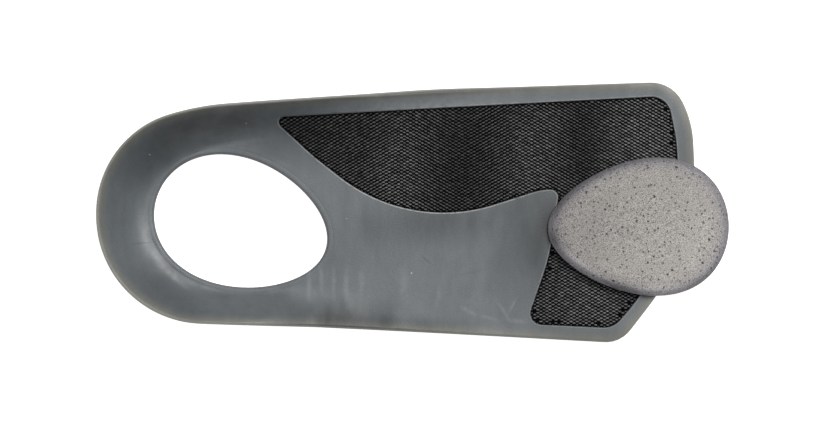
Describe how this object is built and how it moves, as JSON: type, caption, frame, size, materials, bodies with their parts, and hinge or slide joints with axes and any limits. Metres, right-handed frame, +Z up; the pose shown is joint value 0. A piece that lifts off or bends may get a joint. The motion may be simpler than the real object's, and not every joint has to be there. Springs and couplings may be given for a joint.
{
  "type": "insole with metatarsal pad",
  "caption": "Moulded part-length insole with a cupped heel, an opening under the heel bone, an inlaid woven panel and an egg-shaped foam pad that supports the ball of the foot.",
  "frame": {"origin": "under the middle of the whole thing's box, on the surface that it lies on", "axes": "+X from heel to toes, +Y to the inner side of the foot, +Z up to the foot"},
  "size_m": [0.1886, 0.078, 0.0182],
  "materials": {
    "shell_rubber": "satin moulded grey, warmer and scuffed along the rim",
    "woven_cloth": "black plain weave with a faint sheen on the raised yarns",
    "speckled_foam": "matt grey closed-cell foam with dark specks"
  },
  "bodies": {
    "root": {"insole_shell": "shell_rubber", "cloth_panel": "woven_cloth", "metatarsal_pad": "speckled_foam"}
  },
  "joints": []
}
